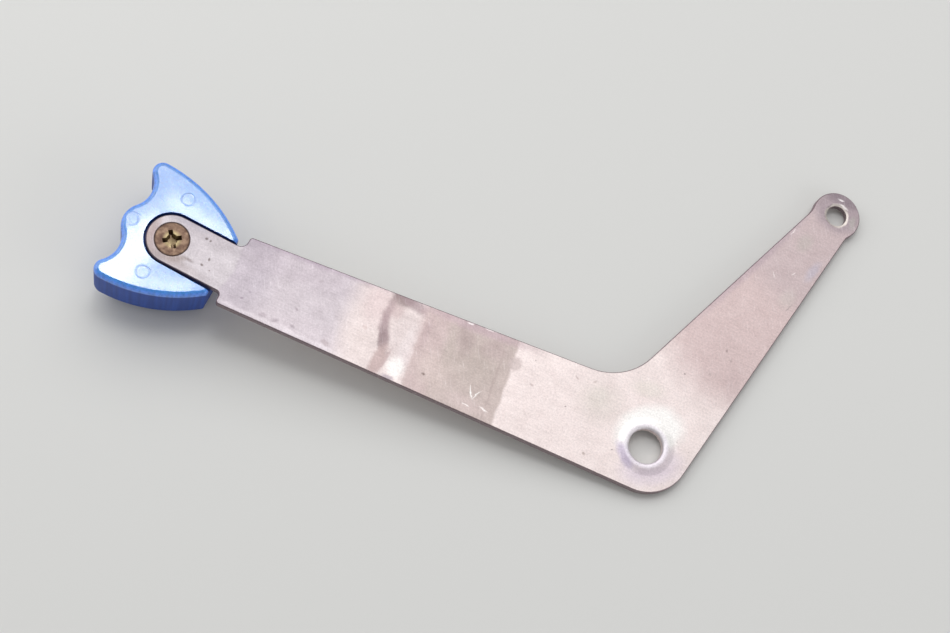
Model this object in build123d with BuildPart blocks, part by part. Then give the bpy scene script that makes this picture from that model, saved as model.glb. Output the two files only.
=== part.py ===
from build123d import *
import math
import os

# Propeller control lever: a flat bell-crank plate cut from sheet, with a moulded half knob
# held on its long arm by one countersunk screw. The plate lies in XY with its facing side at
# Z = 0, the pivot bore is centred on the origin, and the long arm runs along -X.
# All sizes are in millimetres.

# Plate blank
plate_thickness = 2.0
edge_chamfer = 0.2
corner_x = 0.25
corner_y = -0.25
corner_radius = 10.2
bar_width_at_pivot = 23.1
inner_fillet = 14.0

# Pivot bore with its raised, rolled rim
bore_radius = 3.97
rim_crest_radius = 4.85
rim_foot_radius = 6.8
rim_height = 0.32
rim_roll = 0.65
bore_back_chamfer = 0.35

# Short arm with the cable eye
cable_x = 23.45
cable_y = 72.05
cable_hole_radius = 2.5
cable_edge_width = 0.5
cable_edge_depth = 0.2
cable_back_chamfer = 0.3
eye_radius = 5.8
arm_half_taper_deg = 5.47
arm_half_width_at_eye = 4.85
eye_blend_inside = 6.0
eye_blend_outside = 2.0

# Tab that carries the knob
screw_x = -114.15
screw_y = -1.25
tab_angle_deg = -3.4
tab_width = 11.4
shoulder_from_screw = 14.8
shoulder_step_up = 3.12
shoulder_step_low = 2.64
shoulder_fillet_up = 1.8
shoulder_fillet_low = 1.0
shoulder_corner = 0.8

# Countersunk screw, 8-32 size with a 100 degree head and a cross recess
screw_head_radius = 3.82
screw_head_angle = 100.0
screw_head_rim = 0.15
screw_shank_radius = 2.05
screw_length = 9.5
screw_tip_chamfer = 0.4
head_clearance = 0.02
shank_clearance = 0.15
recess_span = 4.3
recess_wing = 1.05
recess_core = 1.25
recess_depth = 1.7
recess_taper = 12.0
recess_turn_deg = 38.0

# Moulded half knob, measured along and across its own axis from the screw. It sits on the tab
# turned by a small angle, within the play of its pocket.
knob_turn_deg = -0.95
knob_depth = 14.0
knob_back_round = 3.2
face_round = 1.15
knob_draft_deg = 1.0
lobe_apex = 11.9
lobe_radius = 5.2
scallop_across = 7.15
scallop_radius = 5.85
horn_round = 2.35
side_arc_back = 9.3
side_half_width = 15.3
side_arc_radius = 34.1
mouth_from_screw = 12.6
mouth_corner = 0.5
pocket_gap = 0.55
pocket_flare_deg = 0.6

# Ejector pin marks left on the knob's flat face
ejector_radius = 1.55
ejector_depth = 0.08
ejector_pair_along = -1.4
ejector_pair_across = 9.75
ejector_end_along = -9.5

# Hexagonal brass insert moulded into the knob
insert_flats = 7.0
insert_length = 8.2
insert_groove_width = 1.6
insert_groove_depth = 0.5
insert_chamfer = 0.4
thread_clearance = 0.03

# Places worked out from the sizes above
tab_half = tab_width / 2
tab_frame = Plane(
    origin=(screw_x, screw_y, 0),
    x_dir=(math.cos(math.radians(tab_angle_deg)), math.sin(math.radians(tab_angle_deg)), 0),
    z_dir=(0, 0, 1),
)
knob_frame = tab_frame.rotated((0, 0, knob_turn_deg))
pocket_floor = -plate_thickness
pocket_end = tab_half + pocket_gap
pocket_reach = mouth_from_screw + knob_depth
pocket_mouth = pocket_end + pocket_reach * math.tan(math.radians(pocket_flare_deg))
insert_top = pocket_floor
half_head_slope = math.tan(math.radians(screw_head_angle / 2))
screw_cone_height = (screw_head_radius - screw_shank_radius) / half_head_slope
sink_radius = screw_head_radius + screw_head_rim * half_head_slope + head_clearance
screw_section = Plane(origin=tab_frame.origin, x_dir=tab_frame.x_dir, z_dir=-tab_frame.y_dir)


def on_tab(along, across):
    """Plan point given by its distance along and across the tab from the screw."""
    return tab_frame.from_local_coords(Vector(along, across, 0))


def polar(angle_deg, length):
    """Plan vector of a given direction and length."""
    angle = math.radians(angle_deg)
    return Vector(length * math.cos(angle), length * math.sin(angle), 0)


def direction_of(vector):
    """Plan direction of a vector, in degrees."""
    return math.degrees(math.atan2(vector.Y, vector.X))


def crossing(point_a, angle_a, point_b, angle_b):
    """Point where two plan lines meet, each given by a point and a direction."""
    da = polar(angle_a, 1)
    db = polar(angle_b, 1)
    gap = point_b - point_a
    along = (gap.X * db.Y - gap.Y * db.X) / (da.X * db.Y - da.Y * db.X)
    return point_a + da * along


def fillet_corner(sketch, point, radius):
    """Round the sketch corner that lies nearest to a plan point."""
    corner = sketch.vertices().sort_by_distance(point)[0]
    fillet(corner, radius)


# Edges of the plate's outline: the long arm's edges run from the tab's shoulders to the width
# at the pivot and to the round corner. The short arm's outer edge runs from the round corner
# to its half width at the eye, and its inner edge follows from the arm's taper.
corner_centre = Vector(corner_x, corner_y, 0)
upper_point = corner_centre + polar(90, bar_width_at_pivot - corner_radius)
shoulder_up = on_tab(shoulder_from_screw, tab_half + shoulder_step_up)
shoulder_low = on_tab(shoulder_from_screw, -tab_half - shoulder_step_low)
upper_angle = direction_of(upper_point - shoulder_up)
lower_reach = corner_centre - shoulder_low
lower_angle = direction_of(lower_reach) - math.degrees(math.asin(corner_radius / lower_reach.length))
lower_point = corner_centre + polar(lower_angle - 90, corner_radius)
eye_centre = Vector(cable_x, cable_y, 0)
arm_reach = eye_centre - corner_centre
arm_lean = math.asin((corner_radius - arm_half_width_at_eye) / arm_reach.length)
outside_angle = direction_of(arm_reach) + math.degrees(arm_lean)
arm_angle = outside_angle - arm_half_taper_deg
inside_angle = arm_angle - arm_half_taper_deg
inside_point = eye_centre + polar(inside_angle + 90, arm_half_width_at_eye)
outside_point = corner_centre + polar(outside_angle - 90, corner_radius)

inner_corner = crossing(upper_point, upper_angle, inside_point, inside_angle)
eye_inside = crossing(eye_centre, arm_angle + 90, inside_point, inside_angle)
eye_outside = crossing(eye_centre, arm_angle - 90, outside_point, outside_angle)


def neck_corner(edge_point, edge_angle):
    """Lower point where an arm edge runs into the round eye."""
    along = polar(edge_angle, 1)
    foot = edge_point + along * (eye_centre - edge_point).dot(along)
    offset = (foot - eye_centre).length
    return foot - along * math.sqrt(eye_radius**2 - offset**2)


with BuildPart() as lever_plate:
    with BuildSketch(Plane.XY.offset(-plate_thickness)) as blank:
        with BuildLine():
            Polyline(
                lower_point,
                shoulder_low,
                shoulder_up,
                inner_corner,
                eye_inside,
                eye_outside,
                outside_point,
                corner_centre,
                close=True,
            )
        make_face()
        with Locations(corner_centre):
            Circle(corner_radius)
        with Locations(eye_centre):
            Circle(eye_radius)
        with Locations(tab_frame):
            Circle(tab_half)
            Rectangle(shoulder_from_screw + tab_half / 2, tab_width, align=(Align.MIN, Align.CENTER))
        fillet_corner(blank, inner_corner, inner_fillet)
        fillet_corner(blank, neck_corner(inside_point, inside_angle), eye_blend_inside)
        fillet_corner(blank, neck_corner(outside_point, outside_angle), eye_blend_outside)
        fillet_corner(blank, on_tab(shoulder_from_screw, tab_half), shoulder_fillet_up)
        fillet_corner(blank, on_tab(shoulder_from_screw, -tab_half), shoulder_fillet_low)
        fillet_corner(blank, shoulder_up, shoulder_corner)
        fillet_corner(blank, shoulder_low, shoulder_corner)
    extrude(amount=plate_thickness)
    chamfer(lever_plate.edges().filter_by(Plane.XY), edge_chamfer)

    # The metal round the pivot bore rises in a shallow cone and rolls over into the bore.
    Hole(rim_foot_radius)
    with BuildSketch(Plane.XZ) as rim_section:
        with BuildLine():
            roll = Spline(
                (bore_radius, rim_height - rim_roll),
                (rim_crest_radius, rim_height),
                tangents=((0, 1), (1, 0)),
            )
            slope = Spline(
                roll @ 1,
                (rim_foot_radius, 0),
                tangents=((1, 0), (1, 0)),
            )
            Polyline(
                slope @ 1,
                (rim_foot_radius, -plate_thickness),
                (bore_radius, -plate_thickness),
                roll @ 0,
            )
        make_face()
    revolve(axis=Axis.Z)
    back_edge = lever_plate.edges().filter_by(GeomType.CIRCLE).filter_by(
        lambda e: abs(e.radius - bore_radius) < 0.01 and abs(e.center().Z + plate_thickness) < 0.01
    )
    chamfer(back_edge, bore_back_chamfer)

    with Locations(eye_centre):
        Hole(cable_hole_radius)
    cable_edges = lever_plate.edges().filter_by(GeomType.CIRCLE).filter_by(
        lambda e: abs(e.radius - cable_hole_radius) < 0.01
    )
    facing_side = lever_plate.faces().filter_by(Axis.Z).sort_by(Axis.Z)[-1]
    facing_edge = cable_edges.sort_by(Axis.Z)[-1]
    chamfer(facing_edge, cable_edge_width, cable_edge_depth, reference=facing_side)
    back_rim = lever_plate.edges().filter_by(GeomType.CIRCLE).filter_by(
        lambda e: abs(e.radius - cable_hole_radius) < 0.01
    )
    chamfer(back_rim.sort_by(Axis.Z)[0], cable_back_chamfer)

    with Locations(tab_frame):
        CounterSinkHole(
            screw_shank_radius + shank_clearance,
            sink_radius,
            counter_sink_angle=screw_head_angle,
        )


# Half of the knob's outline is a chain of tangent arcs: the lobe on the axis, a scallop,
# the rounded horn and the long side arc that ends at the mouth.
def circles_meet(centre_a, radius_a, centre_b, radius_b):
    """Crossing point of two circles, on the left of the way from a to b."""
    gap = centre_b - centre_a
    along = (radius_a**2 - radius_b**2 + gap.length**2) / (2 * gap.length)
    across = math.sqrt(radius_a**2 - along**2)
    way = gap.normalized()
    return centre_a + way * along + Vector(-way.Y, way.X) * across


def arc_between(centre, start, end):
    """Shorter arc round a centre from one point to another."""
    half = (start - centre).normalized() + (end - centre).normalized()
    middle = centre + half.normalized() * (start - centre).length
    return ThreePointArc(start, middle, end)


lobe_centre = Vector(lobe_radius - lobe_apex, 0)
scallop_back = math.sqrt((lobe_radius + scallop_radius) ** 2 - scallop_across**2)
scallop_centre = Vector(lobe_centre.X - scallop_back, scallop_across)
side_centre = Vector(-side_arc_back, side_half_width - side_arc_radius)
horn_centre = circles_meet(
    scallop_centre, scallop_radius + horn_round, side_centre, side_arc_radius - horn_round
)
apex_point = Vector(-lobe_apex, 0)
lobe_end = lobe_centre + (scallop_centre - lobe_centre).normalized() * lobe_radius
scallop_end = horn_centre + (scallop_centre - horn_centre).normalized() * horn_round
horn_end = horn_centre + (horn_centre - side_centre).normalized() * horn_round
mouth_across = side_centre.Y + math.sqrt(side_arc_radius**2 - (mouth_from_screw - side_centre.X) ** 2)
mouth_edge = Vector(mouth_from_screw, mouth_across)

# The insert's body is a hexagon with an anchoring groove cut round it. The knob's moulding
# takes the same body as its cavity, so the plastic fills the groove.
with BuildPart() as insert_body:
    with BuildSketch(knob_frame.offset(insert_top - insert_length)):
        RegularPolygon(insert_flats / 2, 6, major_radius=False)
    extrude(amount=insert_length)
    chamfer(insert_body.faces().sort_by(Axis.Z)[0].edges(), insert_chamfer)
    with BuildSketch(knob_frame.offset(insert_top - (insert_length + insert_groove_width) / 2)):
        RegularPolygon(insert_flats / 2, 6, major_radius=False)
        Circle(insert_flats / 2 - insert_groove_depth, mode=Mode.SUBTRACT)
    extrude(amount=insert_groove_width, mode=Mode.SUBTRACT)

with BuildPart() as knob:
    with BuildSketch(knob_frame) as knob_face:
        with BuildLine():
            arc_between(lobe_centre, apex_point, lobe_end)
            arc_between(scallop_centre, lobe_end, scallop_end)
            arc_between(horn_centre, scallop_end, horn_end)
            arc_between(side_centre, horn_end, mouth_edge)
            Line(mouth_edge, (mouth_from_screw, 0))
            mirror(about=Plane.XZ)
        make_face()
        fillet(knob_face.vertices().group_by(Axis.X)[-1], mouth_corner)
    extrude(amount=-knob_depth)
    draft(knob.faces().filter_by(Axis.Z, reverse=True), knob_frame, -knob_draft_deg)
    fillet(knob.faces().sort_by(Axis.Z)[-1].edges(), face_round)
    fillet(knob.faces().sort_by(Axis.Z)[0].edges(), knob_back_round)

    # The pocket for the tab follows the tab's outline with an even gap and a slight flare.
    with BuildSketch(knob_frame):
        Circle(pocket_end)
        Polygon(
            (0, pocket_end),
            (0, -pocket_end),
            (pocket_reach, -pocket_mouth),
            (pocket_reach, pocket_mouth),
            align=None,
        )
    extrude(amount=pocket_floor, mode=Mode.SUBTRACT)

    with BuildSketch(knob_frame.offset(-ejector_depth)):
        with Locations(
            (ejector_pair_along, ejector_pair_across),
            (ejector_pair_along, -ejector_pair_across),
            (ejector_end_along, 0),
        ):
            Circle(ejector_radius)
    extrude(amount=ejector_depth, mode=Mode.SUBTRACT)
    add(insert_body.part, mode=Mode.SUBTRACT)

with BuildPart() as threaded_insert:
    add(insert_body.part)
    with Locations(tab_frame.offset(insert_top)):
        Hole(screw_shank_radius + thread_clearance)

with BuildPart() as knob_screw:
    with BuildSketch(screw_section):
        with BuildLine():
            Polyline(
                (0, 0),
                (screw_head_radius, 0),
                (screw_head_radius, -screw_head_rim),
                (screw_shank_radius, -screw_head_rim - screw_cone_height),
                (screw_shank_radius, screw_tip_chamfer - screw_length),
                (screw_shank_radius - screw_tip_chamfer, -screw_length),
                (0, -screw_length),
                close=True,
            )
        make_face()
    revolve(axis=Axis((screw_x, screw_y, 0), (0, 0, 1)))
    with BuildSketch(tab_frame.rotated((0, 0, recess_turn_deg))):
        Rectangle(recess_span, recess_wing)
        Rectangle(recess_wing, recess_span)
        Circle(recess_core)
    extrude(amount=-recess_depth, taper=recess_taper, mode=Mode.SUBTRACT)

os.makedirs("parts", exist_ok=True)
finished = {
    "lever_plate": lever_plate,
    "knob": knob,
    "knob_screw": knob_screw,
    "threaded_insert": threaded_insert,
}
for name, piece in finished.items():
    piece.part.label = name
    export_step(piece.part, f"parts/{name}.step")
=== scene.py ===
import math

import bmesh
import bpy
from mathutils import Matrix, Vector

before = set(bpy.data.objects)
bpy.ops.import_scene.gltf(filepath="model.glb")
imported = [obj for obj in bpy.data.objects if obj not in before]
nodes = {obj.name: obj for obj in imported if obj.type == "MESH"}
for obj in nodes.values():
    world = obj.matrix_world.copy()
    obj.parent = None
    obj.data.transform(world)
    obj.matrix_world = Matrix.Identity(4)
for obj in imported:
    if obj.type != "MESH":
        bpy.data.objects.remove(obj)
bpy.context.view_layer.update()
scene = bpy.context.scene
scene.view_settings.view_transform = "Standard"
print("lever plate, knob, screw and insert are in")

# a ramp is four numbers: where it starts and ends, and the values there
ramp = ("From Min", "From Max", "To Min", "To Max")
smooth = {"interpolation_type": "SMOOTHSTEP"}
colourMix = {"data_type": "RGBA"}
mmPerMetre = 1000.0
stainsAtOnce = 25        # the renderer can't hold more of them at a time
throughAll = 10000.0     # mm, more than any depth here


def linearColour(hexCode):
    # sRGB hex to the linear colour that sockets and lamps take
    parts = [int(hexCode[i:i + 2], 16) / 255 for i in (0, 2, 4)]
    linear = [p / 12.92 if p <= 0.04045 else ((p + 0.055) / 1.055) ** 2.4 for p in parts]
    return (*linear, 1.0)


def addNode(tree, kind, settings=None, sockets=None):
    # one node, its settings, and a value or a link for each socket named, or a ramp for its four
    node = tree.nodes.new(kind)
    for name, value in (settings or {}).items():
        setattr(node, name, value)
    for name, value in (sockets or {}).items():
        if name == ramp:
            for end, number in zip(ramp, value):
                node.inputs[end].default_value = number
        elif isinstance(value, bpy.types.NodeSocket):
            tree.links.new(value, node.inputs[name])
        else:
            node.inputs[name].default_value = value
    return node


def startFinish(name):
    # an empty finish, with its shader and the place on the part in millimetres
    finish = bpy.data.materials.new(name)
    finish.use_nodes = True
    tree = finish.node_tree
    placeOnPart = addNode(tree, "ShaderNodeTexCoord").outputs["Object"]
    place = addNode(tree, "ShaderNodeVectorMath", {"operation": "SCALE"}, {
        0: placeOnPart, "Scale": mmPerMetre})
    return finish, tree, tree.nodes["Principled BSDF"], place.outputs[0]


def layStains(tree, place, colour, stains):
    # ellipses with soft outlines, laid one over another
    for number, (x, y, halfLong, halfWide, turn, blur, shade, strength) in enumerate(stains):
        if number % stainsAtOnce == stainsAtOnce - 1:  # the next ones wait for these
            place = addNode(tree, "ShaderNodeVectorMath", {"operation": "MULTIPLY_ADD"}, {
                0: colour, 1: (0.0, 0.0, 0.0), 2: place}).outputs[0]
        spot = addNode(tree, "ShaderNodeMapping", {"vector_type": "TEXTURE"}, {
            "Vector": place, "Location": (x, y, 0), "Rotation": (0, 0, math.radians(turn)),
            "Scale": (halfLong, halfWide, throughAll)})
        reach = addNode(tree, "ShaderNodeVectorMath", {"operation": "LENGTH"}, {0: spot.outputs[0]})
        cover = addNode(tree, "ShaderNodeMapRange", smooth, {
            0: reach.outputs["Value"], ramp: (1 - blur, 1 + blur, strength, 0.0)})
        colour = addNode(tree, "ShaderNodeMix", colourMix, {
            0: cover.outputs[0], 6: colour, 7: linearColour(shade)}).outputs[2]
    return colour


# the lever plate
plateLook = {
    "clean": "eee2e0",       # where the old finish has rubbed thin
    "cloudy": "e3d7d5",
    "cloudNoise": {"Scale": 0.16, "Detail": 5.0, "Roughness": 0.6},
    "cloudRamp": (0.4, 0.62, 0.0, 0.6),
    "raggedNoise": {"Scale": 0.35, "Detail": 6.0, "Roughness": 0.65},
    "raggedBy": 1.6,         # mm that a stain's outline strays
    "facingRamp": (-0.6, -0.15, 0.0, 1.0),    # by height in mm: stains stay on the facing side
    # painted highlight on the pivot's lip, over metal rubbed bare
    "lip": "ebe5ec",
    "lipLightRamp": (4.8, 5.4, 0.7, 0.0),          # by mm from the pivot
    # painted shade: the cut edge and the chamfer are darkened as where they face away from the light
    "edge": "7f6d74",
    "edgeShadeRamp": (0.75, 0.88, 0.8, 0.0),       # by how far the surface faces up or down
    "offRimRamp": (6.0, 7.0, 0.0, 1.0),       # by mm from the pivot
    "pit": "8d7f7e",
    "pitCells": {"Scale": 0.3, "Randomness": 1.0},
    "pitRamp": (0.03, 0.075, 0.75, 0.0),
    "pitFrom": 0.72,         # cells above this have a pit
    "scuff": "fbf8fa",
    "scuffTurn": -62,        # degrees
    "scuffSize": (3.6, 0.32, 1.0),            # mm along and across a handling scuff
    "scuffNoise": {"Scale": 1.0, "Detail": 2.0},
    "scuffRamp": (0.58, 0.8, 0.0, 0.22),
    # the real grain is finer than this noise, which is coarse enough to show
    "speckNoise": {"Scale": 2.2, "Detail": 3.0, "Roughness": 0.75},
    "rubTurn": 24,           # degrees
    "rubSize": (0.12, 3.2, 1.0),
    "rubNoise": {"Scale": 1.0, "Detail": 3.0},
    "rubShare": 0.3,
    "grainRamp": (0.4, 0.9, 0.83, 1.13),
    "grainBump": {"Strength": 0.3, "Distance": 0.00002},
    "roughRamp": (0.35, 0.65, 0.55, 0.64),
    "metallic": 1.0,
}
# each stain: x and y of its middle, half its length and width in mm, its turn in degrees,
# the blur of its outline, its colour and its strength
plateStains = [
    # long arm from the tab to the arch: cooler and duller than the rest
    (-99, 0, 27.5, 60, 3, 0.17, "cac1c6", 1.0),
    (-97.5, 1, 7.0, 14, 0, 0.5, "bcb3bb", 0.8),
    (-98.5, 6.5, 4.5, 3.0, 0, 0.6, "a39aa3", 0.6),
    (-66.5, 0, 5.5, 16, 3, 0.6, "d8ccca", 0.8),
    (-86, 4.5, 13, 3.5, 3, 0.6, "bcb1b9", 0.4),
    (-79, -8, 9, 2.5, 0, 0.6, "d8ced3", 0.5),
    (-86, 8.2, 24, 1.5, 3, 0.6, "a898a6", 0.7),
    (-84, -9.7, 15, 0.5, 0, 0.6, "ebe3e7", 0.4),
    (-86.5, -8.7, 0.7, 0.5, 20, 0.6, "a89ca3", 0.7),
    (-82.5, -8.3, 0.6, 0.4, -10, 0.6, "a89ca3", 0.7),
    (-83.2, -4.3, 0.35, 0.3, 0, 0.6, "a0949a", 0.7),
    (-89.4, -8.6, 0.9, 0.6, 0, 0.6, "b5a9b0", 0.6),
    (-74.5, -8.7, 0.9, 0.6, 0, 0.6, "b8aaad", 0.6),
    (-80.8, 3.8, 0.4, 0.3, 30, 0.6, "b0a4aa", 0.6),
    (-110, -1, 10.9, 14, -2, 0.04, "c8c1c5", 1.0),
    (-106, 2.8, 7.5, 1.6, -3, 0.6, "b3abb0", 0.5),
    (-114, -5.6, 3.8, 0.8, 0, 0.6, "9c8c88", 0.6),
    (-111.6, -4.7, 2.2, 0.8, 20, 0.6, "94847c", 0.6),
    # painted shade along the tab's rounded end and its edges, in the next four stains
    (-118.7, 0.5, 0.8, 3.4, 0, 0.6, "b3a2a2", 0.5),
    (-119.5, -3.5, 3.0, 4.6, 15, 0.6, "a48f8a", 0.55),
    (-114, 4.2, 6.0, 1.2, -3, 0.6, "9e9aa4", 0.45),
    (-112, -6.0, 7.0, 1.1, -3, 0.6, "ada2a2", 0.45),
    (-68.0, -5, 3.6, 6.5, 0, 0.7, "e2d6d4", 0.7),
    (-67.0, 5, 3.4, 4.5, 0, 0.7, "dac9c9", 0.7),
    # arch streak and what it frames
    (-58.8, -0.6, 3.9, 7.2, 4, 0.3, "d8cccb", 0.9),
    (-57.6, -2.0, 1.6, 5.0, 0, 0.5, "e6dcdc", 0.7),
    (-64.5, 4.4, 0.9, 4.2, -6, 0.6, "b5a1a3", 0.8),
    (-62.6, 5.2, 1.4, 2.0, 0, 0.6, "c5b1b1", 0.6),
    (-62.4, 8.2, 2.4, 1.7, 0, 0.5, "928080", 0.8),
    (-59.2, 7.9, 4.2, 1.2, -10, 0.6, "a08d91", 0.75),
    (-55.8, 7.2, 2.6, 1.0, -20, 0.6, "b8a4a6", 0.7),
    (-63.9, 0.0, 1.05, 3.6, 14, 0.5, "b09c9f", 0.8),
    (-63.2, -2.3, 1.15, 2.5, 12, 0.4, "a08e90", 0.8),
    (-62.4, -7.2, 1.5, 4.0, -4, 0.4, "c0aba9", 0.85),
    (-60.9, -6.0, 0.3, 2.4, -8, 0.6, "c0abab", 0.6),
    (-58.2, -7.2, 2.1, 2.2, 0, 0.4, "f2eeec", 0.9),
    (-59.2, -10.1, 1.3, 0.5, 0, 0.5, "b5a9b0", 0.8),
    # old label patch: pinker at its left, greyer inside, darker along its upper edge
    (-45.2, 0, 10.9, 60, 3, 0.04, "c8bab6", 1.0),
    (-53.6, 2, 3.2, 24, 4, 0.4, "ccbab9", 0.85),
    (-55.2, 3.5, 1.0, 3.5, 0, 0.6, "bda9aa", 0.6),
    (-50.5, -4.0, 3.4, 4.0, 20, 0.6, "d4c5c1", 0.8),
    (-42.0, 1.5, 5.5, 5.5, 0, 0.6, "bfb3ad", 0.6),
    (-48.6, 1.0, 1.0, 4.0, 8, 0.6, "bdb1ab", 0.45),
    (-39.5, 6.0, 3.0, 2.4, 10, 0.6, "bfaead", 0.6),
    (-46.2, 5.5, 2.0, 3.4, 10, 0.6, "b09f9e", 0.6),
    (-44, 9.3, 11.5, 1.2, 3, 0.6, "c2adb3", 0.7),
    (-41, -8.2, 5.0, 1.6, 0, 0.6, "d6c6c4", 0.6),
    (-37.0, -1, 0.25, 9.0, 3, 0.7, "b5a5a2", 0.45),
    (-34.1, 5.0, 1.4, 1.6, -20, 0.3, "ccbebc", 0.8),
    # scratches and marks
    (-40.9, -5.2, 0.16, 1.2, 30, 0.6, "fffdfb", 0.8),
    (-39.4, -5.3, 0.16, 1.2, -26, 0.6, "fffdfb", 0.7),
    (-36.8, -7.7, 0.9, 0.2, -18, 0.6, "fffaf8", 0.7),
    (-40.8, -8.5, 0.8, 0.16, 0, 0.6, "fffaf8", 0.6),
    (-46.5, 9.5, 0.7, 0.25, 10, 0.6, "fffafa", 0.7),
    (-42.5, 9.9, 1.6, 0.2, 4, 0.6, "fffafa", 0.5),
    (-52, -6, 0.35, 0.25, 20, 0.6, "84746f", 0.8),
    (-68, -1.5, 0.6, 0.5, 0, 0.5, "d2c0bd", 0.6),
    (-95, -7, 0.4, 0.25, 30, 0.6, "958794", 0.6),
    (-94, -5, 0.3, 0.2, -20, 0.6, "958794", 0.5),
    (-29, 2, 0.4, 0.25, 10, 0.6, "c0aeac", 0.6),
    (-20, 8, 0.5, 0.25, -30, 0.6, "b8a6a3", 0.6),
    (-16, 9, 0.35, 0.25, 40, 0.6, "b8a6a3", 0.6),
    (-12.5, -7.5, 0.45, 0.3, -10, 0.6, "a8978f", 0.6),
    (-107.5, 2.0, 0.3, 0.25, 0, 0.6, "736867", 0.9),
    (-106.5, 1.8, 0.25, 0.2, 0, 0.6, "736867", 0.8),
    (-105.0, -2.0, 0.25, 0.3, 0, 0.6, "7d7270", 0.8),
    (-108.8, -4.0, 0.9, 0.3, 0, 0.7, "968a8a", 0.7),
    (-106.0, -3.7, 0.3, 0.25, 0, 0.6, "7d7270", 0.8),
    # round the pivot: greenish blotches above, a halo above the bore that is partly rubbed and partly
    # a painted highlight, and painted bluish shade on the rim's lower slope
    (-13, 5.0, 5.0, 4.5, 20, 0.6, "e0d6d2", 0.8),
    (-14, 5.8, 2.2, 2.7, 0, 0.6, "dad4cd", 0.4),
    (-4.0, 12.6, 3.6, 1.8, 10, 0.6, "dbd5cd", 0.45),
    # halo whitened on the side of the rim that faces the key lamp: partly rubbed metal, partly painted
    # highlight
    (-0.5, 3.4, 7.9, 5.7, 37, 0.24, "f8f6f4", 0.95),
    # painted shade on the lower side of the raised rim, in this and the next two stains
    (2.6, -3.8, 7.2, 4.3, 35, 0.35, "ddd2dc", 0.65),
    (-3.9, -3.9, 3.0, 1.3, -45, 0.5, "c4b9cf", 0.75),
    (2.8, -5.3, 4.0, 0.9, 28, 0.6, "bfb1c1", 0.3),
    # short arm: a pinker haze that thickens towards the eye
    (14.5, 45.0, 28.0, 22, 72, 0.22, "d5c2c1", 0.95),
    (10.5, 26, 5.5, 8.0, 10, 0.5, "d2bfbe", 0.55),
    (13.5, 22, 2.0, 4.0, 10, 0.6, "c9b6b6", 0.5),
    (21.5, 64.0, 18.0, 18, 72, 0.25, "cbbbbc", 0.95),
    (18.5, 62, 1.6, 2.4, -20, 0.6, "c2bdb6", 0.4),
    (19, 47, 1.8, 2.4, -20, 0.6, "cfc7c2", 0.4),
    (22.5, 56, 1.0, 2.6, -20, 0.6, "c0bccb", 0.5),
    (8.9, 52, 18.0, 1.3, 66, 0.6, "b3a0ab", 0.45),
    (9.8, 29, 0.3, 0.3, 0, 0.6, "8a7875", 0.5),
    (11.5, 27, 0.35, 0.25, 0, 0.6, "8a7875", 0.4),
    (8.0, 22, 0.3, 0.25, 0, 0.6, "8a7875", 0.3),
    (20.0, 45, 0.15, 1.2, -25, 0.6, "84777a", 0.35),
    (18.5, 53.5, 0.12, 0.6, -30, 0.6, "f4eceb", 0.7),
    (14.0, 51.2, 0.12, 0.7, 20, 0.6, "f4eceb", 0.6),
    (14.8, 63.3, 0.14, 0.8, -15, 0.6, "f4eceb", 0.7),
    (23.8, 73.2, 6.2, 5.2, 5, 0.3, "ab9da3", 0.85),
    (23.5, 77.0, 5.4, 1.7, 0, 0.6, "877b83", 0.6),
    (23.2, 76.3, 0.7, 0.2, 15, 0.6, "fffafa", 0.7),
    (27.6, 72, 0.8, 1.6, 0, 0.6, "c0beb8", 0.5),
    (23.45, 72.05, 3.0, 3.0, 0, 0.05, "e2dbd3", 0.75),
    (24.4, 75.0, 1.2, 0.3, -10, 0.6, "fffbf8", 0.7),
]

# rolled aluminium alloy sheet, blanked and tumbled:
# a satin metal whose old finish has rubbed and stained in patches
plateFinish, tree, shader, place = startFinish("satinRolledAluminium")
wander = addNode(tree, "ShaderNodeTexNoise", None, {"Vector": place, **plateLook["raggedNoise"]})
shift = addNode(tree, "ShaderNodeVectorMath", {"operation": "MULTIPLY_ADD"}, {
    0: wander.outputs["Color"], 1: (plateLook["raggedBy"],) * 3, 2: (-plateLook["raggedBy"] / 2,) * 3})
ragged = addNode(tree, "ShaderNodeVectorMath", {"operation": "ADD"}, {
    0: place, 1: shift.outputs[0]}).outputs[0]
cloud = addNode(tree, "ShaderNodeTexNoise", None, {"Vector": place, **plateLook["cloudNoise"]})
cloudCover = addNode(tree, "ShaderNodeMapRange", None, {
    0: cloud.outputs[0], ramp: plateLook["cloudRamp"]})
metalColour = addNode(tree, "ShaderNodeMix", colourMix, {
    0: cloudCover.outputs[0], 6: linearColour(plateLook["clean"]),
    7: linearColour(plateLook["cloudy"])}).outputs[2]
stained = layStains(tree, ragged, metalColour, plateStains)
# the lip that rolls into the pivot bore is rubbed bare and lightened all round as a painted highlight
fromPivot = addNode(tree, "ShaderNodeVectorMath", {"operation": "LENGTH"}, {0: place})
onLipLit = addNode(tree, "ShaderNodeMapRange", smooth, {
    0: fromPivot.outputs["Value"], ramp: plateLook["lipLightRamp"]})
lipLit = addNode(tree, "ShaderNodeMix", colourMix, {
    0: onLipLit.outputs[0], 6: stained, 7: linearColour(plateLook["lip"])}).outputs[2]
height = addNode(tree, "ShaderNodeSeparateXYZ", None, {0: place})
onFacingSide = addNode(tree, "ShaderNodeMapRange", None, {
    0: height.outputs["Z"], ramp: plateLook["facingRamp"]})
plateColour = addNode(tree, "ShaderNodeMix", colourMix, {
    0: onFacingSide.outputs[0], 6: metalColour, 7: lipLit}).outputs[2]
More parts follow.
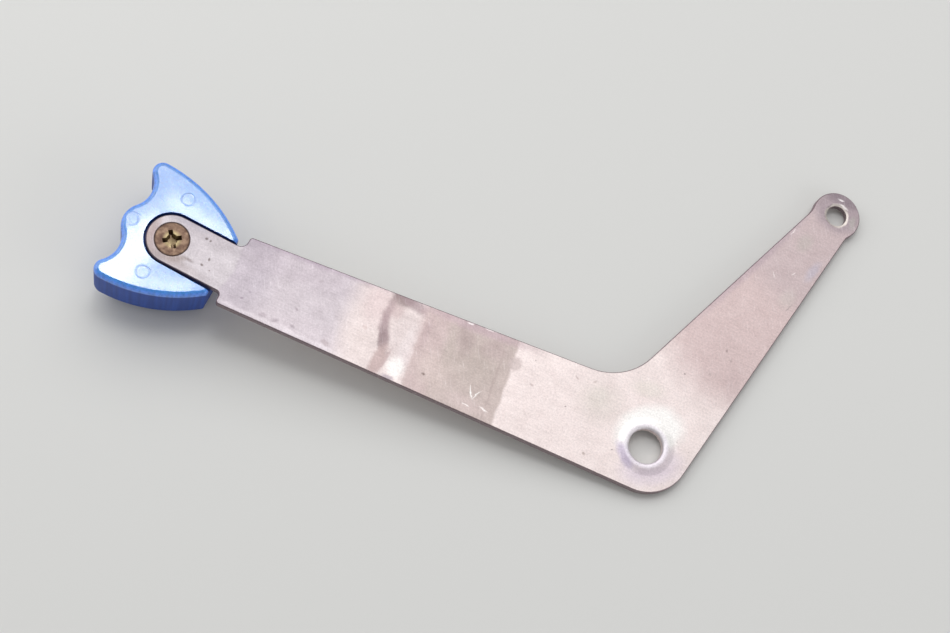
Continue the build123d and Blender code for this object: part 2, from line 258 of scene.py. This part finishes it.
# the chamfer and the cut edge are darkened, partly as dull cut metal and mostly as painted shade, away
# from the pivot's rolled rim
facing = addNode(tree, "ShaderNodeNewGeometry")
lean = addNode(tree, "ShaderNodeSeparateXYZ", None, {0: facing.outputs["Normal"]})
leanSize = addNode(tree, "ShaderNodeMath", {"operation": "ABSOLUTE"}, {0: lean.outputs["Z"]})
edgeShadeCover = addNode(tree, "ShaderNodeMapRange", None, {
    0: leanSize.outputs[0], ramp: plateLook["edgeShadeRamp"]})
offRim = addNode(tree, "ShaderNodeMapRange", None, {
    0: fromPivot.outputs["Value"], ramp: plateLook["offRimRamp"]})
edgeShadeHere = addNode(tree, "ShaderNodeMath", {"operation": "MULTIPLY"}, {
    0: edgeShadeCover.outputs[0], 1: offRim.outputs[0]})
edgeShaded = addNode(tree, "ShaderNodeMix", colourMix, {
    0: edgeShadeHere.outputs[0], 6: plateColour, 7: linearColour(plateLook["edge"])}).outputs[2]
# pits and dirt specks, one in some of the cells
pit = addNode(tree, "ShaderNodeTexVoronoi", None, {"Vector": ragged, **plateLook["pitCells"]})
pitSize = addNode(tree, "ShaderNodeMapRange", None, {
    0: pit.outputs["Distance"], ramp: plateLook["pitRamp"]})
pitPick = addNode(tree, "ShaderNodeSeparateXYZ", None, {0: pit.outputs["Color"]})
pitChosen = addNode(tree, "ShaderNodeMath", {"operation": "GREATER_THAN"}, {
    0: pitPick.outputs["X"], 1: plateLook["pitFrom"]})
pitHere = addNode(tree, "ShaderNodeMath", {"operation": "MULTIPLY"}, {
    0: pitSize.outputs[0], 1: pitChosen.outputs[0]})
pitted = addNode(tree, "ShaderNodeMix", colourMix, {
    0: pitHere.outputs[0], 6: edgeShaded, 7: linearColour(plateLook["pit"])}).outputs[2]
# short handling scuffs, all running one way
scuffPlace = addNode(tree, "ShaderNodeMapping", {"vector_type": "TEXTURE"}, {
    "Vector": place, "Rotation": (0, 0, math.radians(plateLook["scuffTurn"])),
    "Scale": plateLook["scuffSize"]})
scuffNoise = addNode(tree, "ShaderNodeTexNoise", None, {
    "Vector": scuffPlace.outputs[0], **plateLook["scuffNoise"]})
scuffCover = addNode(tree, "ShaderNodeMapRange", None, {
    0: scuffNoise.outputs[0], ramp: plateLook["scuffRamp"]})
scuffed = addNode(tree, "ShaderNodeMix", colourMix, {
    0: scuffCover.outputs[0], 6: pitted, 7: linearColour(plateLook["scuff"])}).outputs[2]
# fine grain and rubbing along the long arm
speck = addNode(tree, "ShaderNodeTexNoise", None, {"Vector": place, **plateLook["speckNoise"]})
rubPlace = addNode(tree, "ShaderNodeMapping", None, {
    "Vector": place, "Rotation": (0, 0, math.radians(plateLook["rubTurn"])),
    "Scale": plateLook["rubSize"]})
rub = addNode(tree, "ShaderNodeTexNoise", None, {
    "Vector": rubPlace.outputs[0], **plateLook["rubNoise"]})
grain = addNode(tree, "ShaderNodeMath", {"operation": "MULTIPLY_ADD"}, {
    0: rub.outputs[0], 1: plateLook["rubShare"], 2: speck.outputs[0]})
grainTone = addNode(tree, "ShaderNodeMapRange", None, {
    0: grain.outputs[0], ramp: plateLook["grainRamp"]})
speckled = addNode(tree, "ShaderNodeVectorMath", {"operation": "SCALE"}, {
    0: scuffed, "Scale": grainTone.outputs[0]}).outputs[0]
rough = addNode(tree, "ShaderNodeMapRange", None, {
    0: wander.outputs[0], ramp: plateLook["roughRamp"]})
grainBump = addNode(tree, "ShaderNodeBump", None, {
    "Height": grain.outputs[0], **plateLook["grainBump"]})
tree.links.new(speckled, shader.inputs["Base Color"])
tree.links.new(rough.outputs[0], shader.inputs["Roughness"])
tree.links.new(grainBump.outputs[0], shader.inputs["Normal"])
shader.inputs["Metallic"].default_value = plateLook["metallic"]
nodes["lever_plate"].data.materials.clear()
nodes["lever_plate"].data.materials.append(plateFinish)
print("plate finish is on")

# the knob
knobLook = {
    "blue": "2f84d8",
    "deep": "2a78cc",
    "blushNoise": {"Scale": 0.12, "Detail": 3.0, "Roughness": 0.5},
    "blushRamp": (0.35, 0.65, 0.0, 0.6),
    "wornAndLit": "6297ff",        # the rounded edges are rubbed paler, and lightened further as a painted highlight
    "wornAndLitRamp": (0.75, 0.97, 0.75, 0.0),      # by how far the surface faces up or down
    "wall": "11348c",        # painted shade on the wall and the underside; the moulded wall is also less polished
    "wallRamp": (0.05, 0.3, 0.85, 0.0),       # by how far the surface faces up or down
    "belowRamp": (-1.3, -0.8, 0.85, 0.0),     # by height in mm
    "wallRoughness": 0.66,
    "streakSize": (1.4, 1.4, 0.04),           # flow streaks run down the mould's wall
    "streakNoise": {"Scale": 1.0, "Detail": 3.0},
    "streakRamp": (0.35, 0.65, 0.82, 1.12),
    "pinMarks": [(-114.8, 8.6), (-123.9, -0.8), (-116.8, -10.7)],
    "pinMarkRadius": 1.45,
    "ringRamp": (0.0, 0.28, 1.0, 0.0),        # by mm off the mark's outline
    "ringBump": {"Strength": 0.4, "Distance": 0.00003},
    "skinNoise": {"Scale": 0.5, "Detail": 3.0, "Roughness": 0.6},
    "skinRamp": (0.35, 0.65, 0.24, 0.36),
    "skinBump": {"Strength": 0.12, "Distance": 0.00002},
    "coatRamp": (0.0, 0.85, 1.0, 0.0),        # by the wall's cover: the wall has no mirror skin
    "wholeShader": {"IOR": 1.54, "Coat IOR": 1.6, "Coat Roughness": 0.06},
}
# glossy thermoplastic, injection moulded: a clear blue face under a mirror skin
# that takes the lamps' shapes, and duller walls with fine upright streaks, darkened with painted shade
knobFinish, tree, shader, place = startFinish("mouldedBlueAbs")
blush = addNode(tree, "ShaderNodeTexNoise", None, {"Vector": place, **knobLook["blushNoise"]})
blushCover = addNode(tree, "ShaderNodeMapRange", None, {
    0: blush.outputs[0], ramp: knobLook["blushRamp"]})
knobColour = addNode(tree, "ShaderNodeMix", colourMix, {
    0: blushCover.outputs[0], 6: linearColour(knobLook["blue"]),
    7: linearColour(knobLook["deep"])}).outputs[2]
knobFacing = addNode(tree, "ShaderNodeNewGeometry")
knobLean = addNode(tree, "ShaderNodeSeparateXYZ", None, {0: knobFacing.outputs["Normal"]})
knobLeanSize = addNode(tree, "ShaderNodeMath", {"operation": "ABSOLUTE"}, {
    0: knobLean.outputs["Z"]})
upright = addNode(tree, "ShaderNodeMapRange", None, {
    0: knobLeanSize.outputs[0], ramp: knobLook["wallRamp"]})
depth = addNode(tree, "ShaderNodeSeparateXYZ", None, {0: place})
below = addNode(tree, "ShaderNodeMapRange", None, {
    0: depth.outputs["Z"], ramp: knobLook["belowRamp"]})
onWall = addNode(tree, "ShaderNodeMath", {"operation": "MAXIMUM"}, {
    0: upright.outputs[0], 1: below.outputs[0]})
onEdge = addNode(tree, "ShaderNodeMapRange", None, {
    0: knobLeanSize.outputs[0], ramp: knobLook["wornAndLitRamp"]})
# painted highlight over real rubbing on the knob's rounded edges
edgeWornAndLit = addNode(tree, "ShaderNodeMix", colourMix, {
    0: onEdge.outputs[0], 6: knobColour, 7: linearColour(knobLook["wornAndLit"])}).outputs[2]
# painted shade: the upright wall and everything below the plate's level turn dark blue
wallShaded = addNode(tree, "ShaderNodeMix", colourMix, {
    0: onWall.outputs[0], 6: edgeWornAndLit, 7: linearColour(knobLook["wall"])}).outputs[2]
streakPlace = addNode(tree, "ShaderNodeMapping", None, {
    "Vector": place, "Scale": knobLook["streakSize"]})
streak = addNode(tree, "ShaderNodeTexNoise", None, {
    "Vector": streakPlace.outputs[0], **knobLook["streakNoise"]})
streakTone = addNode(tree, "ShaderNodeMapRange", None, {
    0: streak.outputs[0], ramp: knobLook["streakRamp"]})
streaked = addNode(tree, "ShaderNodeVectorMath", {"operation": "SCALE"}, {
    0: wallShaded, "Scale": streakTone.outputs[0]}).outputs[0]
# each ejector pin left a round mark with a fine raised ring
flat = addNode(tree, "ShaderNodeVectorMath", {"operation": "MULTIPLY"}, {
    0: place, 1: (1.0, 1.0, 0.0)}).outputs[0]
rings = None
for x, y in knobLook["pinMarks"]:
    fromPin = addNode(tree, "ShaderNodeVectorMath", {"operation": "DISTANCE"}, {
        0: flat, 1: (x, y, 0.0)})
    offRing = addNode(tree, "ShaderNodeMath", {"operation": "SUBTRACT"}, {
        0: fromPin.outputs["Value"], 1: knobLook["pinMarkRadius"]})
    offRingSize = addNode(tree, "ShaderNodeMath", {"operation": "ABSOLUTE"}, {
        0: offRing.outputs[0]})
    ring = addNode(tree, "ShaderNodeMapRange", smooth, {
        0: offRingSize.outputs[0], ramp: knobLook["ringRamp"]})
    if rings is None:
        rings = ring.outputs[0]
    else:
        rings = addNode(tree, "ShaderNodeMath", {"operation": "ADD"}, {
            0: rings, 1: ring.outputs[0]}).outputs[0]
skin = addNode(tree, "ShaderNodeTexNoise", None, {"Vector": place, **knobLook["skinNoise"]})
skinRough = addNode(tree, "ShaderNodeMapRange", None, {
    0: skin.outputs[0], ramp: knobLook["skinRamp"]})
knobRough = addNode(tree, "ShaderNodeMix", {"data_type": "FLOAT"}, {
    0: onWall.outputs[0], 2: skinRough.outputs[0], 3: knobLook["wallRoughness"]})
coatHere = addNode(tree, "ShaderNodeMapRange", None, {
    0: onWall.outputs[0], ramp: knobLook["coatRamp"]})
skinBump = addNode(tree, "ShaderNodeBump", None, {
    "Height": skin.outputs[0], **knobLook["skinBump"]})
ringBump = addNode(tree, "ShaderNodeBump", None, {
    "Height": rings, "Normal": skinBump.outputs[0], **knobLook["ringBump"]})
tree.links.new(streaked, shader.inputs["Base Color"])
tree.links.new(knobRough.outputs[0], shader.inputs["Roughness"])
tree.links.new(coatHere.outputs[0], shader.inputs["Coat Weight"])
tree.links.new(ringBump.outputs[0], shader.inputs["Normal"])
tree.links.new(ringBump.outputs[0], shader.inputs["Coat Normal"])
for name, value in knobLook["wholeShader"].items():
    shader.inputs[name].default_value = value
nodes["knob"].data.materials.clear()
nodes["knob"].data.materials.append(knobFinish)
print("knob finish is on")

# the screw and the insert, on one axis
brassLooks = {
    "knob_screw": {
        # core: the recess is lighter yellow, partly brighter brass and partly a painted highlight
        "name": "tarnishedTurnedBrass", "bright": "86705f", "dark": "6b544a", "core": "b5a67e",
        "coreRamp": (1.2, 2.4, 0.8, 0.0),     # by mm from the head's middle
        "rimRamp": (3.45, 3.75, 0.0, 0.7),
        "roughRamp": (0.35, 0.65, 0.42, 0.6)},
    "threaded_insert": {
        "name": "cleanTurnedBrass", "bright": "c2a25c", "dark": "9c7f49", "core": "c2a25c",
        "coreRamp": (1.1, 2.1, 0.8, 0.0),
        "rimRamp": (3.45, 3.75, 0.0, 0.0),
        "roughRamp": (0.35, 0.65, 0.3, 0.45)},
}
brassShared = {
    "centre": (-114.15, -1.25, 0.0),
    "tintNoise": {"Scale": 0.7, "Detail": 5.0, "Roughness": 0.65},
    "tintRamp": (0.38, 0.62, 0.0, 1.0),
    # a thin dark ring round the screw head's outline
    "headRimDark": "3d302b",
    "turnedNoise": {"Scale": 3.0, "Detail": 2.0},
    "turnedBump": {"Strength": 0.3, "Distance": 0.00003},
    "metallic": 1.0,
}
# brass turned on a lathe: the screw's head has tarnished brown, and its recess is lighter yellow,
# partly brighter brass and partly a painted highlight; the insert is clean
for node, look in brassLooks.items():
    brassFinish, tree, shader, place = startFinish(look["name"])
    tint = addNode(tree, "ShaderNodeTexNoise", None, {"Vector": place, **brassShared["tintNoise"]})
    tintCover = addNode(tree, "ShaderNodeMapRange", None, {
        0: tint.outputs[0], ramp: brassShared["tintRamp"]})
    brassColour = addNode(tree, "ShaderNodeMix", colourMix, {
        0: tintCover.outputs[0], 6: linearColour(look["bright"]),
        7: linearColour(look["dark"])}).outputs[2]
    fromAxis = addNode(tree, "ShaderNodeVectorMath", {"operation": "DISTANCE"}, {
        0: place, 1: brassShared["centre"]})
    inCore = addNode(tree, "ShaderNodeMapRange", smooth, {
        0: fromAxis.outputs["Value"], ramp: look["coreRamp"]})
    cored = addNode(tree, "ShaderNodeMix", colourMix, {
        0: inCore.outputs[0], 6: brassColour, 7: linearColour(look["core"])}).outputs[2]
    atRim = addNode(tree, "ShaderNodeMapRange", smooth, {
        0: fromAxis.outputs["Value"], ramp: look["rimRamp"]})
    rimmed = addNode(tree, "ShaderNodeMix", colourMix, {
        0: atRim.outputs[0], 6: cored, 7: linearColour(brassShared["headRimDark"])}).outputs[2]
    brassRough = addNode(tree, "ShaderNodeMapRange", None, {
        0: tint.outputs[0], ramp: look["roughRamp"]})
    turned = addNode(tree, "ShaderNodeTexNoise", None, {
        "Vector": place, **brassShared["turnedNoise"]})
    turnedBump = addNode(tree, "ShaderNodeBump", None, {
        "Height": turned.outputs[0], **brassShared["turnedBump"]})
    tree.links.new(rimmed, shader.inputs["Base Color"])
    tree.links.new(brassRough.outputs[0], shader.inputs["Roughness"])
    tree.links.new(turnedBump.outputs[0], shader.inputs["Normal"])
    shader.inputs["Metallic"].default_value = brassShared["metallic"]
    nodes[node].data.materials.clear()
    nodes[node].data.materials.append(brassFinish)
print("brass finishes are on")

# the floor, tilted so that the lever lies on it
floorSheet = {
    # the knob's rounded underside, the plate's corner and the eye, in metres
    "touches": [
        (-0.10505, -0.00776, -0.01398), (0.00995, -0.00263, -0.002), (0.02882, 0.07051, -0.002)],
    "gap": 0.00002,
    "width": 4.0,
    "colour": "d6d6d4",
    "wholeShader": {"Roughness": 0.9, "Specular IOR Level": 0.1},
    "toothNoise": {"Scale": 0.4, "Detail": 2.0},
    "toothBump": {"Strength": 0.05, "Distance": 0.00002},
}
kneel, corner, eye = [Vector(p) for p in floorSheet["touches"]]
floorUp = (corner - kneel).cross(eye - kneel).normalized()
floorUp = floorUp if floorUp.z > 0 else -floorUp
floorFrame = floorUp.to_track_quat("Z", "Y").to_matrix().to_4x4()
floorFrame.translation = kneel - floorUp * floorSheet["gap"]
bm = bmesh.new()
bmesh.ops.create_grid(bm, x_segments=1, y_segments=1, size=floorSheet["width"] / 2)
bmesh.ops.transform(bm, matrix=floorFrame, verts=bm.verts)
floorMesh = bpy.data.meshes.new("paperFloor")
bm.to_mesh(floorMesh)
bm.free()
floor = bpy.data.objects.new("paperFloor", floorMesh)
scene.collection.objects.link(floor)
# matt white card: plain and pale, with the faintest tooth
floorFinish, tree, shader, place = startFinish("mattWhiteCard")
tooth = addNode(tree, "ShaderNodeTexNoise", None, {"Vector": place, **floorSheet["toothNoise"]})
toothBump = addNode(tree, "ShaderNodeBump", None, {
    "Height": tooth.outputs[0], **floorSheet["toothBump"]})
tree.links.new(toothBump.outputs[0], shader.inputs["Normal"])
shader.inputs["Base Color"].default_value = linearColour(floorSheet["colour"])
for name, value in floorSheet["wholeShader"].items():
    shader.inputs[name].default_value = value
# from below the card is clear, so that a level view isn't blocked by its slope
cardSide = addNode(tree, "ShaderNodeNewGeometry")
clearBack = addNode(tree, "ShaderNodeBsdfTransparent")
twoSided = addNode(tree, "ShaderNodeMixShader", None, {
    0: cardSide.outputs["Backfacing"], 1: shader.outputs[0], 2: clearBack.outputs[0]})
tree.links.new(twoSided.outputs[0], tree.nodes["Material Output"].inputs["Surface"])
floorMesh.materials.append(floorFinish)
print("floor is under the lever")

# the lamps and the world: the small lamps are each seen as a bright patch on the knob's face
lamps = {
    "keyBox": {
        "at": (-0.30, 0.56, 0.78), "aim": (-0.05, 0.02, 0.0), "along": 0,
        "size": (1.4, 1.0), "watts": 6.75},
    "knobBox": {
        "at": (-0.182, 0.197, 0.60), "aim": (-0.115, 0.0, 0.0), "along": 0,
        "size": (0.16, 0.17), "watts": 0.30},
    "hornStrip": {
        "at": (-0.1955, 0.1762, 0.60), "aim": (-0.115, 0.0, 0.0), "along": 64,
        "size": (0.062, 0.021), "watts": 0.0465},
    "mouthStrip": {
        "at": (-0.1622, 0.2150, 0.60), "aim": (-0.115, 0.0, 0.0), "along": -8,
        "size": (0.05, 0.008), "watts": 0.012},
    "edgeStrip": {
        "at": (-0.1740, 0.1702, 0.60), "aim": (-0.115, 0.0, 0.0), "along": 17,
        "size": (0.044, 0.006), "watts": 0.008},
    "rightFill": {
        "at": (0.55, -0.12, 0.3), "aim": (0.0, 0.0, 0.0), "along": 90,
        "size": (0.5, 0.4), "watts": 0.7},
    "leftFill": {
        "at": (-0.62, 0.06, 0.26), "aim": (-0.11, 0.0, 0.0), "along": 90,
        "size": (0.5, 0.4), "watts": 0.9},
}
for name, lamp in lamps.items():
    lampData = bpy.data.lights.new(name, "AREA")
    lampData.shape = "RECTANGLE"
    lampData.size, lampData.size_y = lamp["size"]
    lampData.energy = lamp["watts"]
    lampObject = bpy.data.objects.new(name, lampData)
    back = (Vector(lamp["at"]) - Vector(lamp["aim"])).normalized()
    turn = math.radians(lamp["along"])
    along = Vector((math.cos(turn), math.sin(turn), 0.0))
    along = (along - back * along.dot(back)).normalized()
    stand = Matrix((along, back.cross(along), back)).transposed().to_4x4()
    stand.translation = Vector(lamp["at"])
    lampObject.matrix_world = stand
    scene.collection.objects.link(lampObject)
roomLight = {"colour": "ffffff", "strength": 0.39}
world = bpy.data.worlds.new("softRoom")
world.use_nodes = True
background = world.node_tree.nodes["Background"]
background.inputs["Color"].default_value = linearColour(roomLight["colour"])
background.inputs["Strength"].default_value = roomLight["strength"]
scene.world = world
print("lamps and world are lit")

# the camera, at the photograph's angle
cameraPlace = {
    "at": (-0.074948, -0.129791, 0.387029),
    "right": (0.909126, 0.365299, 0.200117),
    "up": (-0.410768, 0.865892, 0.285484),
    "back": (-0.068993, -0.341742, 0.937258),
    "sensor": 36.0,          # mm, as is the lens
    "lens": 70.105,
    "sees": (0.01, 20.0),    # metres, nearest and farthest
}
cameraData = bpy.data.cameras.new("studioCamera")
cameraData.sensor_width = cameraPlace["sensor"]
cameraData.lens = cameraPlace["lens"]
cameraData.clip_start, cameraData.clip_end = cameraPlace["sees"]
camera = bpy.data.objects.new("studioCamera", cameraData)
cameraAxes = Matrix((cameraPlace["right"], cameraPlace["up"], cameraPlace["back"]))
cameraFrame = cameraAxes.transposed().to_4x4()
cameraFrame.translation = Vector(cameraPlace["at"])
camera.matrix_world = cameraFrame
scene.collection.objects.link(camera)
scene.camera = camera
print("camera is set")
